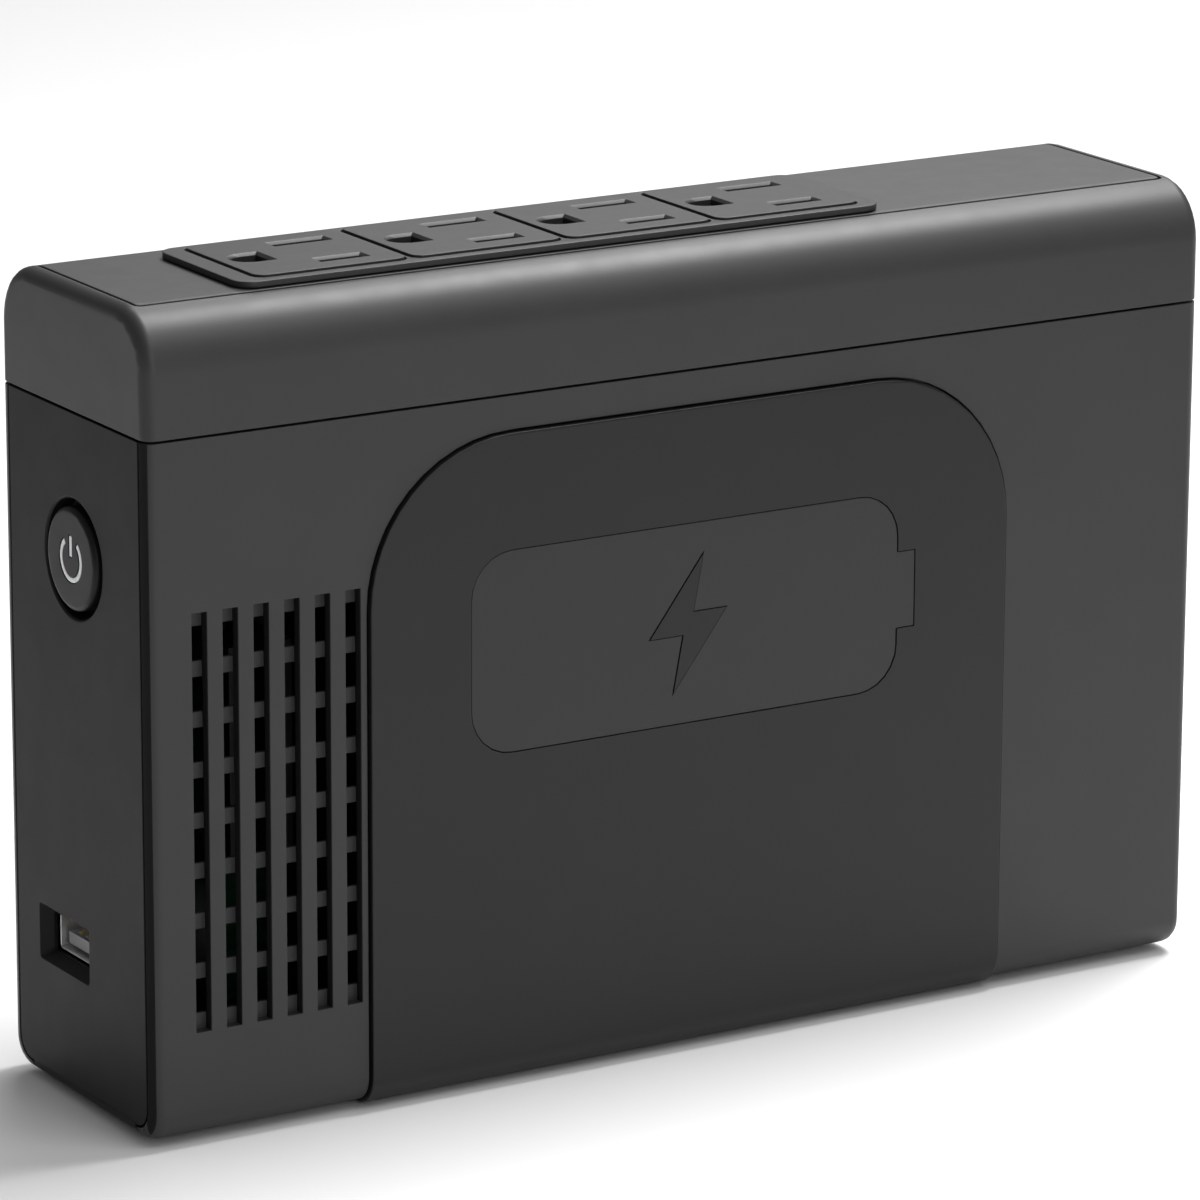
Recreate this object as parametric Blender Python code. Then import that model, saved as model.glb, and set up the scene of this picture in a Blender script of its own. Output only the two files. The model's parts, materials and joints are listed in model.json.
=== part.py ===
"""Slim uninterruptible power supply: a box that stands on its long narrow side.

The body's own corner is the modelling origin: X runs along the length from the left end, Y runs
back from the front face and Z runs up from the underside. Every size is in millimetres, and the
mesh builders write metres. One empty carries all pieces to the finished frame, which has its
origin under the middle of the whole object.
"""

import math

import bmesh
import bpy

METRES = 0.001

# Overall sizes
BODY_LENGTH = 185.0
BODY_DEPTH = 46.2
BODY_HEIGHT = 124.5
TOP_RADIUS = 9.0
BOTTOM_RADIUS = 4.7
END_RADIUS = 2.0
WALL = 2.5
PART_GAP = 0.3
SEAM = 0.35
THIN_GAP = 0.12

# How far cutters run past what they cut, and how far joined shapes overlap
CUT_FAR = 50.0
CUT_PAST = 5.0
CUT_JUST = 1.0
JOIN = 0.5

# Top cap, the panel let into it and the frame of the outlets
CAP_HEIGHT = 18.6
CAP_ROOF = 4.6
LIP_DEPTH = 3.0
LIP_WALL = 1.2
LIP_JOIN = 0.1
PANEL_END_INSET = 2.8
PANEL_SIDE_INSET = 7.6
PANEL_THICKNESS = 2.0
PANEL_CORNER = 0.6
PANEL_GAP = 0.45
OUTLET_COUNT = 4
OUTLET_PITCH = 26.3
OUTLET_WIDTH = 25.2
OUTLET_DEPTH = 23.2
OUTLET_LEFT = 23.8
OUTLET_FRONT = 10.2
OUTLET_CORNER = 1.8
OUTLET_THICKNESS = 6.3
OUTLET_RAISE = 0.3
OUTLET_GAP = 0.3
FRAME_RAISE = 1.05
FRAME_LEFT_BORDER = 3.8
FRAME_RIGHT_BORDER = 3.0
FRAME_FRONT_BORDER = 2.2
FRAME_REAR_BORDER = 1.3
FRAME_CORNER = 3.0
FRAME_COLLAR = 0.8

# NEMA 5-15R contact pattern, ground hole to the left of the blades
BLADE_FROM_LEFT = 16.7
BLADE_SPACING = 12.7
BLADE_SLOT = 2.2
NEUTRAL_LENGTH = 9.0
LINE_LENGTH = 7.4
SLOT_LEAD_IN = 0.45
GROUND_OFFSET = 11.9
GROUND_HOLE = 5.4

# Contact bars under the outlets and the tray that insulates them
BASE_DEPTH = 16.0
BASE_WALL = 1.2
BAR_THICKNESS = 0.8
LEAF_THICKNESS = 0.6
LEAF_LENGTH = 6.0
LEAF_BELOW_TRAY = 1.0
BAR_END = 1.0
BLADE_GRIP = 1.8
GROUND_GRIP = 4.8

# End plates
PLATE_THICKNESS = 2.4
PLATE_SIDE_INSET = 2.4
PLATE_FOOT_INSET = 1.65
PLATE_CORNER = 3.6
PLATE_TAB_INSET = 6.4
BOSS_SIZE = 8.0
BOSS_REACH = 7.0
BOSS_LOW = 14.0
BOSS_BELOW_SEAM = 12.0

# Power button in the left end plate
BUTTON_Y = 23.3
BUTTON_BELOW_SEAM = 22.1
BUTTON_RADIUS = 7.8
BUTTON_PROUD = 0.5
BUTTON_SKIN = 1.1
BUTTON_HEIGHT = 2.7
BUTTON_TRAVEL = 1.0
BUTTON_ROUND = 0.8
WELL_GAP = 1.2
WELL_LEAD_IN = 1.3
WELL_LEAD_DEPTH = 0.3
WELL_WALL = 1.5
WELL_FLOOR = 1.2
CUP_FRONT = 1.0
SYMBOL_RADIUS = 3.5
SYMBOL_STROKE = 0.75
SYMBOL_OPENING = 38.0
GUIDE_STEM_RADIUS = 3.5
SWITCH_SIZE = 6.0
SWITCH_HEIGHT = 3.5
PLUNGER_RADIUS = 1.7
PLUNGER_REACH = 1.0

# USB port in the left end plate
USB_Y = 28.5
USB_Z = 23.4
USB_WIDTH = 13.1
USB_HEIGHT = 5.7
USB_METAL = 0.3
USB_CORNER = 0.6
USB_TONGUE_WIDTH = 11.1
USB_TONGUE = 1.9
USB_TONGUE_LIFT = 0.35
USB_TONGUE_SETBACK = 1.0
USB_REAR = 2.0
USB_CHAMFER = 1.35
USB_CHAMFER_DEPTH = 1.7
USB_SINK = 2.6

# Control board behind the left end plate
CONTROL_BOARD_X = 12.4
BOARD_THICKNESS = 1.6
CONTROL_BOARD_SIDE = 6.0
CONTROL_BOARD_LOW = 14.0
CONTROL_BOARD_DEPTH = 28.0
CONTROL_BOARD_ABOVE_BUTTON = 12.0
LED_RADIUS = 1.5
LED_OFFSET = 5.0

# Battery cover: front panel that wraps round the bottom edge
COVER_SIDE_MARGIN = 36.25
COVER_BELOW_SEAM = 5.6
COVER_CORNER = 24.0
COVER_PROUD = 0.65
COVER_SINK = 1.35
COVER_GAP = 0.35
COVER_EDGE = 0.25
COVER_LIP = 12.0
TAB_WIDTH = 9.0
TAB_THICKNESS = 1.6
TAB_REACH = 5.0
TAB_BELOW_TOP = 4.0
TAB_FROM_MIDDLE = 26.0

# Inlaid emblem: a battery outline with a bolt standing in it
EMBLEM_SIDE_MARGIN = 17.0
EMBLEM_HEIGHT = 31.0
EMBLEM_Z = 67.0
EMBLEM_CORNER = 7.0
EMBLEM_NUB = 3.2
EMBLEM_NUB_HEIGHT = 12.0
EMBLEM_THICKNESS = 0.7
BOLT_HEIGHT = 21.0

# Vents left of the cover: upright slots outside, level slots inside
VENT_COLUMNS = 6
VENT_PITCH = 5.06
VENT_WIDTH = 2.5
VENT_END_MARGIN = 7.05
VENT_LOW = 16.5
VENT_HIGH = 80.0
VENT_DEPTH = 1.8
VENT_OVERLAP = 0.1
VENT_SPREAD = 0.5
RIB_COUNT = 9
RIB_HEIGHT = 2.45

# Battery and its bay
BAY_MARGIN = 5.0
BAY_WALL = 1.5
BAY_FLOOR = 5.0
BAY_BELOW_COVER_TOP = 13.0
BATTERY_DEPTH = 26.0
BATTERY_ROUND = 2.0
BATTERY_CLEARANCE = 0.8
TERMINAL_WIDTH = 6.3
TERMINAL_THICKNESS = 0.8
TERMINAL_HEIGHT = 5.0
TERMINAL_MARGIN = 8.0
TERMINAL_Y = 10.0
LEAD_RADIUS = 1.2
LEAD_RISE = 6.0

# Main board on the rear wall
MAIN_BOARD_LEFT = 16.5
MAIN_BOARD_RIGHT = 11.0
MAIN_BOARD_LOW = 6.0
MAIN_BOARD_BELOW_SEAM = 8.0
STANDOFF_HEIGHT = 3.2
STANDOFF_RADIUS = 3.0
STANDOFF_INSET = 4.5
BOARD_SCREW_RADIUS = 1.2
BOARD_SCREW_LENGTH = 4.6
BOARD_SCREW_HEAD = 2.2
BOARD_SCREW_HEAD_HEIGHT = 1.3
BOARD_HOLE_FRONT = 20.0
BOARD_HOLE_BOTTOM = 0.4

# Parts on the main board
SINK_LEFT = 18.5
SINK_WIDTH = 17.0
SINK_DEPTH = 16.0
SINK_LOW = 33.0
SINK_HEIGHT = 34.0
SINK_BASE = 3.0
SINK_FINS = 6
SINK_FIN = 1.1
TRANSISTOR_WIDTH = 10.0
TRANSISTOR_HEIGHT = 9.0
TRANSISTOR_THICKNESS = 4.4
TRANSISTOR_ABOVE_SINK = 1.5
CAPACITOR_RADIUS = 4.5
CAPACITOR_LENGTH = 17.0
CAPACITOR_COUNT = 3
CAPACITOR_PITCH = 10.0
CAPACITOR_X = 66.0
CAPACITOR_ABOVE_BAY = 1.0
RELAY_WIDTH = 12.5
RELAY_HEIGHT = 15.5
RELAY_DEPTH = 18.0
RELAY_LOW = 62.5
RELAY_GAP = 1.5
RELAY_FROM_RIGHT = 34.5
CORE_FROM_RIGHT = 33.5
CORE_WIDTH = 20.0
CORE_HEIGHT = 10.0
CORE_DEPTH = 20.0
CORE_LIMB = 3.6
CORE_MIDDLE_LIMB = 5.0
CORE_LOW = 48.0
COIL_GAP = 0.5

# Mains inlet and breaker in the right end plate
INLET_Z = 33.0
INLET_WIDTH = 27.0
INLET_HEIGHT = 19.8
INLET_LENGTH = 22.0
INLET_FLANGE = 2.0
INLET_FLANGE_THICKNESS = 1.6
INLET_CAVITY_WIDTH = 24.0
INLET_CAVITY_HEIGHT = 15.8
INLET_CAVITY_DEPTH = 17.0
INLET_CAVITY_CUT = 5.0
INLET_CORNER = 1.5
INLET_PIN_WIDTH = 4.0
INLET_PIN_THICKNESS = 2.0
INLET_PIN_LENGTH = 11.5
INLET_PIN_TAIL = 4.0
INLET_PIN_SLOT = 10.0
INLET_PIN_SPACING = 7.0
INLET_EARTH_RISE = 4.0
BREAKER_BELOW_SEAM = 24.0
BREAKER_SIZE = 15.0
BREAKER_LENGTH = 18.0
BREAKER_NECK = 5.2
BREAKER_NECK_PROUD = 1.2
BREAKER_BUTTON = 3.2
BREAKER_BUTTON_LENGTH = 8.0
BREAKER_CLEARANCE = 0.25

# Screws that hold the end plates through the rear wall
SCREW_RADIUS = 1.3
SCREW_LENGTH = 7.0
SCREW_HEAD = 2.6
SCREW_HEAD_HEIGHT = 1.2
SCREW_CLEARANCE = 0.2
SCREW_SINK = 1.4
SCREW_HOLE_FRONT = 40.0
SCREW_SLOT_HALF = 0.35
SCREW_SLOT_REACH = 1.6
SCREW_SLOT_DEPTH = 0.6

# Feet
FOOT_WIDTH = 12.0
FOOT_SIDE_MARGIN = 8.0
FOOT_END_MARGIN = 10.0
FOOT_RECESS = 1.0
FOOT_PROUD = 1.0
FOOT_CORNER = 3.0

# Places worked out from the sizes above
CENTRE_X = BODY_LENGTH / 2
CENTRE_Y = BODY_DEPTH / 2
SEAM_Z = BODY_HEIGHT - CAP_HEIGHT
REAR_WALL_Y = BODY_DEPTH - WALL
COVER_LEFT = COVER_SIDE_MARGIN
COVER_RIGHT = BODY_LENGTH - COVER_SIDE_MARGIN
COVER_TOP = SEAM_Z - COVER_BELOW_SEAM
OUTLET_Y = OUTLET_FRONT + OUTLET_DEPTH / 2
OUTLET_ROW_RIGHT = OUTLET_LEFT + (OUTLET_COUNT - 1) * OUTLET_PITCH + OUTLET_WIDTH
FRAME_TOP = BODY_HEIGHT + FRAME_RAISE
OUTLET_TOP = FRAME_TOP + OUTLET_RAISE
OUTLET_FLOOR = OUTLET_TOP - OUTLET_THICKNESS
PANEL_FLOOR = BODY_HEIGHT - PANEL_THICKNESS
BUTTON_Z = SEAM_Z - BUTTON_BELOW_SEAM
BUTTON_BACK = BUTTON_HEIGHT - BUTTON_PROUD
WELL_RADIUS = BUTTON_RADIUS + WELL_GAP
WELL_FLOOR_X = BUTTON_BACK + BUTTON_TRAVEL + THIN_GAP
SWITCH_FACE = CONTROL_BOARD_X - PART_GAP - SWITCH_HEIGHT
MAIN_BOARD_BACK = REAR_WALL_Y - STANDOFF_HEIGHT - PART_GAP
MAIN_BOARD_FACE = MAIN_BOARD_BACK - BOARD_THICKNESS
PARTS_BACK = MAIN_BOARD_FACE - PART_GAP
BAY_LEFT = COVER_LEFT + BAY_MARGIN
BAY_RIGHT = COVER_RIGHT - BAY_MARGIN
BAY_TOP = COVER_TOP - BAY_BELOW_COVER_TOP
BAY_FRONT = WALL + PART_GAP
BATTERY_FRONT = BAY_FRONT + BATTERY_CLEARANCE
BATTERY_BACK = BATTERY_FRONT + BATTERY_DEPTH
BATTERY_TOP = BAY_TOP - BATTERY_CLEARANCE - TERMINAL_HEIGHT
BREAKER_Z = SEAM_Z - BREAKER_BELOW_SEAM
BOSS_HEIGHTS = (BOSS_LOW, SEAM_Z - BOSS_BELOW_SEAM)
BOSS_Y = REAR_WALL_Y - PART_GAP - BOSS_SIZE / 2
BASE_TOP = OUTLET_FLOOR - PART_GAP
BASE_BOTTOM = BASE_TOP - BASE_DEPTH


# ---------------------------------------------------------------- materials and meshes


def material(name, colour, roughness, metallic=0.0):
    """A plain Principled material, made once for each name."""
    found = bpy.data.materials.get(name)
    if found:
        return found
    made = bpy.data.materials.new(name)
    made.use_nodes = True
    shader = made.node_tree.nodes["Principled BSDF"]
    shader.inputs["Base Color"].default_value = (*colour, 1.0)
    shader.inputs["Roughness"].default_value = roughness
    shader.inputs["Metallic"].default_value = metallic
    made.diffuse_color = (*colour, 1.0)
    return made


def case_plastic():
    return material("case_plastic", (0.055, 0.055, 0.057), 0.5)


def cover_plastic():
    return material("cover_plastic", (0.038, 0.038, 0.040), 0.42)


def emblem_plastic():
    return material("emblem_plastic", (0.055, 0.055, 0.057), 0.45)


def outlet_plastic():
    return material("outlet_plastic", (0.060, 0.060, 0.062), 0.4)


def inner_plastic():
    return material("inner_plastic", (0.02, 0.02, 0.02), 0.6)


def port_plastic():
    return material("port_plastic", (0.30, 0.30, 0.31), 0.4)


def rubber():
    return material("rubber", (0.02, 0.02, 0.02), 0.85)


def brass():
    return material("brass", (0.78, 0.57, 0.23), 0.3, 1.0)


def steel():
    return material("steel", (0.62, 0.62, 0.64), 0.3, 1.0)


def black_anodised():
    return material("black_anodised", (0.03, 0.03, 0.032), 0.4, 1.0)


def circuit_board():
    return material("circuit_board", (0.02, 0.14, 0.06), 0.45)


def light_guide():
    return material("light_guide", (0.92, 0.92, 0.92), 0.35)


def battery_case():
    return material("battery_case", (0.05, 0.05, 0.06), 0.5)


def copper_winding():
    return material("copper_winding", (0.65, 0.28, 0.12), 0.35, 1.0)


def red_insulation():
    return material("red_insulation", (0.55, 0.02, 0.02), 0.5)


def black_insulation():
    return material("black_insulation", (0.015, 0.015, 0.015), 0.5)


def relay_blue():
    return material("relay_blue", (0.03, 0.12, 0.45), 0.4)


def solid_from(mesh_builder, name):
    """An object from a bmesh in millimetres, with its faces turned outwards."""
    bmesh.ops.recalc_face_normals(mesh_builder, faces=mesh_builder.faces)
    bmesh.ops.scale(mesh_builder, vec=(METRES,) * 3, verts=mesh_builder.verts)
    mesh = bpy.data.meshes.new(name)
    mesh_builder.to_mesh(mesh)
    mesh_builder.free()
    made = bpy.data.objects.new(name, mesh)
    bpy.context.scene.collection.objects.link(made)
    return made


def loft(rings, name="tool"):
    """A closed solid through rings that all have the same number of points."""
    builder = bmesh.new()
    loops = [[builder.verts.new(point) for point in ring] for ring in rings]
    count = len(loops[0])
    for near, far in zip(loops, loops[1:]):
        for i in range(count):
            j = (i + 1) % count
            builder.faces.new((near[i], near[j], far[j], far[i]))
    builder.faces.new(loops[0])
    builder.faces.new(loops[-1])
    return solid_from(builder, name)


def placed(outline, axis, height):
    """Outline points (u, v) at a height along X, Y or Z."""
    if axis == "X":
        return [(height, u, v) for u, v in outline]
    if axis == "Y":
        return [(u, height, v) for u, v in outline]
    return [(u, v, height) for u, v in outline]


def prism(outline, axis, low, high, name="tool"):
    return loft([placed(outline, axis, low), placed(outline, axis, high)], name)


def block(low, high, name="tool"):
    outline = [(low[0], low[1]), (high[0], low[1]), (high[0], high[1]), (low[0], high[1])]
    return prism(outline, "Z", low[2], high[2], name)


def circle(u, v, radius, steps=24):
    turns = [2 * math.pi * i / steps for i in range(steps)]
    return [(u + radius * math.cos(t), v + radius * math.sin(t)) for t in turns]


def rounded(u0, v0, u1, v1, radii, steps=6):
    """A rectangle with its corners rounded: lower left, lower right, upper right, upper left."""
    if isinstance(radii, (int, float)):
        radii = (radii,) * 4
    corners = ((u0, v0, 1, 1, 180), (u1, v0, -1, 1, 270), (u1, v1, -1, -1, 0), (u0, v1, 1, -1, 90))
    points = []
    for (u, v, inward_u, inward_v, start), radius in zip(corners, radii):
        if radius <= 0:
            points.append((u, v))
            continue
        for i in range(steps + 1):
            turn = math.radians(start + 90 * i / steps)
            centre_u = u + inward_u * radius
            centre_v = v + inward_v * radius
            points.append((centre_u + radius * math.cos(turn), centre_v + radius * math.sin(turn)))
    return points


def grown(outline, distance):
    """The outline, which turns to the left, moved outwards by a distance all round."""
    points = []
    for i, (u, v) in enumerate(outline):
        before = outline[i - 1]
        after = outline[(i + 1) % len(outline)]
        normals = []
        for start, end in ((before, (u, v)), ((u, v), after)):
            run_u, run_v = end[0] - start[0], end[1] - start[1]
            length = math.hypot(run_u, run_v)
            normals.append((run_v / length, -run_u / length))
        (a, b), (c, d) = normals
        share = distance / (1 + a * c + b * d)
        points.append((u + share * (a + c), v + share * (b + d)))
    return points


def body_section(inset):
    """The body's outline seen from the end, drawn in by inset."""
    low = max(BOTTOM_RADIUS - inset, 0.05)
    top = max(TOP_RADIUS - inset, 0.05)
    return rounded(
        inset, inset, BODY_DEPTH - inset, BODY_HEIGHT - inset, (low, low, top, top), steps=9
    )


def body_form(inset=0.0, steps=4):
    """The whole body as one solid, drawn in by inset, with its end edges rounded."""
    radius = max(END_RADIUS - inset, 0.0)
    turns = [math.radians(90 * i / steps) for i in range(steps + 1)] if radius else [math.pi / 2]
    left = []
    right = []
    for turn in turns:
        section = body_section(inset + radius * (1 - math.sin(turn)))
        x = inset + radius * (1 - math.cos(turn))
        left.append(placed(section, "X", x))
        right.append(placed(section, "X", BODY_LENGTH - x))
    return loft(left + right[::-1])


def combine(target, tools, operation):
    """Applies one Boolean for each tool and removes the tools."""
    for tool in tools:
        modifier = target.modifiers.new("combine", "BOOLEAN")
        modifier.object = tool
        modifier.operation = operation
        modifier.solver = "EXACT"
    apply_modifiers(target)
    for tool in tools:
        bpy.data.objects.remove(tool)
    return target


def apply_modifiers(target):
    graph = bpy.context.evaluated_depsgraph_get()
    finished = bpy.data.meshes.new_from_object(target.evaluated_get(graph))
    target.modifiers.clear()
    old = target.data
    target.data = finished
    bpy.data.meshes.remove(old)


def cut(target, *tools):
    return combine(target, tools, "DIFFERENCE")


def add(target, *tools):
    return combine(target, tools, "UNION")


def keep(target, *tools):
    return combine(target, tools, "INTERSECT")


def finish(target, name, look, pivot=(0.0, 0.0, 0.0)):
    """Names a piece, gives it its material and puts its origin at the pivot."""
    target.name = name
    target.data.name = name
    target.data.materials.clear()
    target.data.materials.append(look)
    offset = [-METRES * value for value in pivot]
    builder = bmesh.new()
    builder.from_mesh(target.data)
    bmesh.ops.translate(builder, vec=offset, verts=builder.verts)
    builder.to_mesh(target.data)
    builder.free()
    target.location = [METRES * value for value in pivot]
    target.data.shade_smooth()
    target.data.set_sharp_from_angle(angle=math.radians(30))
    return target


# ---------------------------------------------------------------- top cap and outlets


def above(z):
    return block(
        (-CUT_FAR, -CUT_FAR, z),
        (BODY_LENGTH + CUT_FAR, BODY_DEPTH + CUT_FAR, BODY_HEIGHT + CUT_FAR),
    )


def below(z):
    return block((-CUT_FAR,) * 3, (BODY_LENGTH + CUT_FAR, BODY_DEPTH + CUT_FAR, z))


def panel_outline(gap=0.0):
    end = PANEL_END_INSET - gap
    side = PANEL_SIDE_INSET - gap
    return rounded(end, side, BODY_LENGTH - end, BODY_DEPTH - side, PANEL_CORNER + gap, steps=4)


def collar_outline(grow=0.0):
    """The outside of the collar that goes down through the panel."""
    edge = OUTLET_GAP + FRAME_COLLAR + grow
    return rounded(
        OUTLET_LEFT - edge,
        OUTLET_FRONT - edge,
        OUTLET_ROW_RIGHT + edge,
        OUTLET_FRONT + OUTLET_DEPTH + edge,
        OUTLET_CORNER + edge,
        steps=4,
    )


def make_top_cap():
    cap = keep(body_form(), above(SEAM_Z + SEAM / 2))
    cavity = keep(body_form(WALL), below(BODY_HEIGHT - CAP_ROOF))
    shoulder = keep(body_form(WALL - LIP_JOIN), above(SEAM_Z + SEAM), below(SEAM_Z + 1.5 * LIP_WALL))
    lip = keep(body_form(WALL + PART_GAP), above(SEAM_Z - LIP_DEPTH), below(SEAM_Z + LIP_WALL))
    lip = cut(add(lip, shoulder), body_form(WALL + PART_GAP + LIP_WALL))
    recess = prism(panel_outline(PANEL_GAP), "Z", PANEL_FLOOR - PART_GAP, BODY_HEIGHT + CUT_PAST)
    window = prism(collar_outline(PART_GAP), "Z", SEAM_Z, BODY_HEIGHT)
    cap = cut(cap, cavity)
    cap = add(cap, lip)
    cap = cut(cap, recess, window)
    return finish(cap, "top_cap", case_plastic())


def make_top_panel():
    top = BODY_HEIGHT + CUT_PAST
    panel = keep(body_form(), prism(panel_outline(), "Z", PANEL_FLOOR, top))
    panel = cut(panel, prism(collar_outline(PART_GAP), "Z", PANEL_FLOOR - CUT_JUST, top))
    return finish(panel, "top_panel", case_plastic())


def outlet_outline(index, grow=0.0):
    left = OUTLET_LEFT + index * OUTLET_PITCH
    return rounded(
        left - grow,
        OUTLET_FRONT - grow,
        left + OUTLET_WIDTH + grow,
        OUTLET_FRONT + OUTLET_DEPTH + grow,
        OUTLET_CORNER + grow,
        steps=4,
    )


def make_outlet_frame():
    flange = prism(
        rounded(
            OUTLET_LEFT - FRAME_LEFT_BORDER,
            OUTLET_FRONT - FRAME_FRONT_BORDER,
            OUTLET_ROW_RIGHT + FRAME_RIGHT_BORDER,
            OUTLET_FRONT + OUTLET_DEPTH + FRAME_REAR_BORDER,
            FRAME_CORNER,
        ),
        "Z",
        BODY_HEIGHT + THIN_GAP,
        FRAME_TOP,
    )
    collar = prism(collar_outline(), "Z", OUTLET_FLOOR + PART_GAP, FRAME_TOP - FRAME_RAISE / 2)
    frame = add(flange, collar)
    windows = [
        prism(outlet_outline(i, OUTLET_GAP), "Z", OUTLET_FLOOR - CUT_PAST, FRAME_TOP + CUT_PAST)
        for i in range(OUTLET_COUNT)
    ]
    return finish(cut(frame, *windows), "outlet_frame", outlet_plastic())


def blade_x(index):
    return OUTLET_LEFT + index * OUTLET_PITCH + BLADE_FROM_LEFT


def ground_outline(x):
    """A D whose round side faces away from the blades."""
    radius = GROUND_HOLE / 2
    turns = [math.radians(90 + 180 * i / 12) for i in range(13)]
    points = [(x + radius * math.cos(t), OUTLET_Y + radius * math.sin(t)) for t in turns]
    return points + [(x + radius, OUTLET_Y - radius), (x + radius, OUTLET_Y + radius)]


def through_hole(outline):
    """A hole through an outlet's face, with a lead-in that widens towards the top."""
    wide = grown(outline, SLOT_LEAD_IN)
    return loft(
        [
            placed(outline, "Z", OUTLET_FLOOR - CUT_JUST),
            placed(outline, "Z", OUTLET_TOP - SLOT_LEAD_IN),
            placed(wide, "Z", OUTLET_TOP),
            placed(wide, "Z", OUTLET_TOP + CUT_JUST),
        ]
    )


def blade_outline(x, y, length):
    half_x = length / 2
    half_y = BLADE_SLOT / 2
    return rounded(x - half_x, y - half_y, x + half_x, y + half_y, 0)


def make_outlet(index):
    face = prism(outlet_outline(index), "Z", OUTLET_FLOOR, OUTLET_TOP)
    x = blade_x(index)
    face = cut(
        face,
        through_hole(blade_outline(x, OUTLET_Y + BLADE_SPACING / 2, NEUTRAL_LENGTH)),
        through_hole(blade_outline(x, OUTLET_Y - BLADE_SPACING / 2, LINE_LENGTH)),
        through_hole(ground_outline(x - GROUND_OFFSET)),
    )
    return finish(face, f"outlet_{index + 1}", outlet_plastic())


def make_outlet_base():
    """The tray that insulates the contact bars under the outlets."""
    low = (OUTLET_LEFT - BASE_WALL, OUTLET_FRONT - BASE_WALL / 2, BASE_BOTTOM)
    high = (OUTLET_ROW_RIGHT + BASE_WALL, OUTLET_FRONT + OUTLET_DEPTH + BASE_WALL / 2, BASE_TOP)
    inside_low = [value + BASE_WALL for value in low]
    inside_high = (high[0] - BASE_WALL, high[1] - BASE_WALL, high[2] + CUT_JUST)
    tray = cut(block(low, high), block(inside_low, inside_high))
    return finish(tray, "outlet_base", inner_plastic())


def make_contact_bar(name, y, grip, x_shift):
    """A bar along the row, with a pair of sprung leaves at each outlet."""
    floor = BASE_BOTTOM + BASE_WALL + PART_GAP
    outer = grip / 2 + LEAF_THICKNESS
    reach = LEAF_LENGTH / 2 + BAR_END
    first = blade_x(0) - x_shift - reach
    last = blade_x(OUTLET_COUNT - 1) - x_shift + reach
    bar = block((first, y - outer, floor), (last, y + outer, floor + BAR_THICKNESS))
    leaves = []
    for index in range(OUTLET_COUNT):
        x = blade_x(index) - x_shift
        for side in (-1, 1):
            near = y + side * grip / 2
            far = y + side * outer
            leaves.append(
                block(
                    (x - LEAF_LENGTH / 2, min(near, far), floor + BAR_THICKNESS / 2),
                    (x + LEAF_LENGTH / 2, max(near, far), BASE_TOP - LEAF_BELOW_TRAY),
                )
            )
    return finish(add(bar, *leaves), name, brass())


def make_contacts():
    make_contact_bar("neutral_bar", OUTLET_Y + BLADE_SPACING / 2, BLADE_GRIP, 0)
    make_contact_bar("line_bar", OUTLET_Y - BLADE_SPACING / 2, BLADE_GRIP, 0)
    make_contact_bar("ground_bar", OUTLET_Y, GROUND_GRIP, GROUND_OFFSET)


# ---------------------------------------------------------------- main housing


def cover_outline(grow=0.0):
    radius = COVER_CORNER + grow
    low = -2 * CUT_PAST
    return rounded(
        COVER_LEFT - grow, low, COVER_RIGHT + grow, COVER_TOP + grow, (0, 0, radius, radius), 12
    )


def cover_skin(grow, outer, inner, back):
    """The L-shaped layer of the body under the cover's outline, between two insets."""
    reach = prism(cover_outline(grow), "Y", -2 * CUT_PAST, back)
    return cut(keep(body_form(outer), reach), body_form(inner))


def plate_outline(grow, top):
    """An end plate seen from the end: side edges, rounded feet and a tab to the underside."""
    side = PLATE_SIDE_INSET - grow
    foot = PLATE_FOOT_INSET - grow
    tab = PLATE_TAB_INSET - grow
    radius = PLATE_CORNER + grow
    steps = 6
    plate = rounded(side, foot, BODY_DEPTH - side, top, (radius, radius, 0, 0), steps)
    tab_points = [(tab, foot), (tab, -grow), (BODY_DEPTH - tab, -grow), (BODY_DEPTH - tab, foot)]
    front = steps + 1
    return plate[:front] + tab_points + plate[front:]


def end_pocket(left):
    """The room for an end plate in the housing."""
    outline = plate_outline(SEAM / 2, BODY_HEIGHT)
    depth = PLATE_THICKNESS + PART_GAP
    if left:
        return prism(outline, "X", -CUT_PAST, depth)
    return prism(outline, "X", BODY_LENGTH - depth, BODY_LENGTH + CUT_PAST)


def vent_slots():
    slots = []
    for column in range(VENT_COLUMNS):
        x = VENT_END_MARGIN + column * VENT_PITCH
        slots.append(block((x, -CUT_JUST, VENT_LOW), (x + VENT_WIDTH, VENT_DEPTH, VENT_HIGH)))
    return slots


def vent_bands():
    """The level slots inside, which leave the ribs between them."""
    left = VENT_END_MARGIN - VENT_SPREAD
    right = VENT_END_MARGIN + (VENT_COLUMNS - 1) * VENT_PITCH + VENT_WIDTH + VENT_SPREAD
    pitch = (VENT_HIGH - VENT_LOW - RIB_HEIGHT) / (RIB_COUNT - 1)
    bands = []
    for level in range(RIB_COUNT - 1):
        low = VENT_LOW + level * pitch + RIB_HEIGHT
        high = low + pitch - RIB_HEIGHT
        bands.append(
            block((left, VENT_DEPTH - VENT_OVERLAP, low), (right, WALL + CUT_JUST, high))
        )
    return bands


def board_corners():
    left = MAIN_BOARD_LEFT + STANDOFF_INSET
    right = BODY_LENGTH - MAIN_BOARD_RIGHT - STANDOFF_INSET
    low = MAIN_BOARD_LOW + STANDOFF_INSET
    high = SEAM_Z - MAIN_BOARD_BELOW_SEAM - STANDOFF_INSET
    return [(left, low), (right, low), (left, high), (right, high)]


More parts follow.
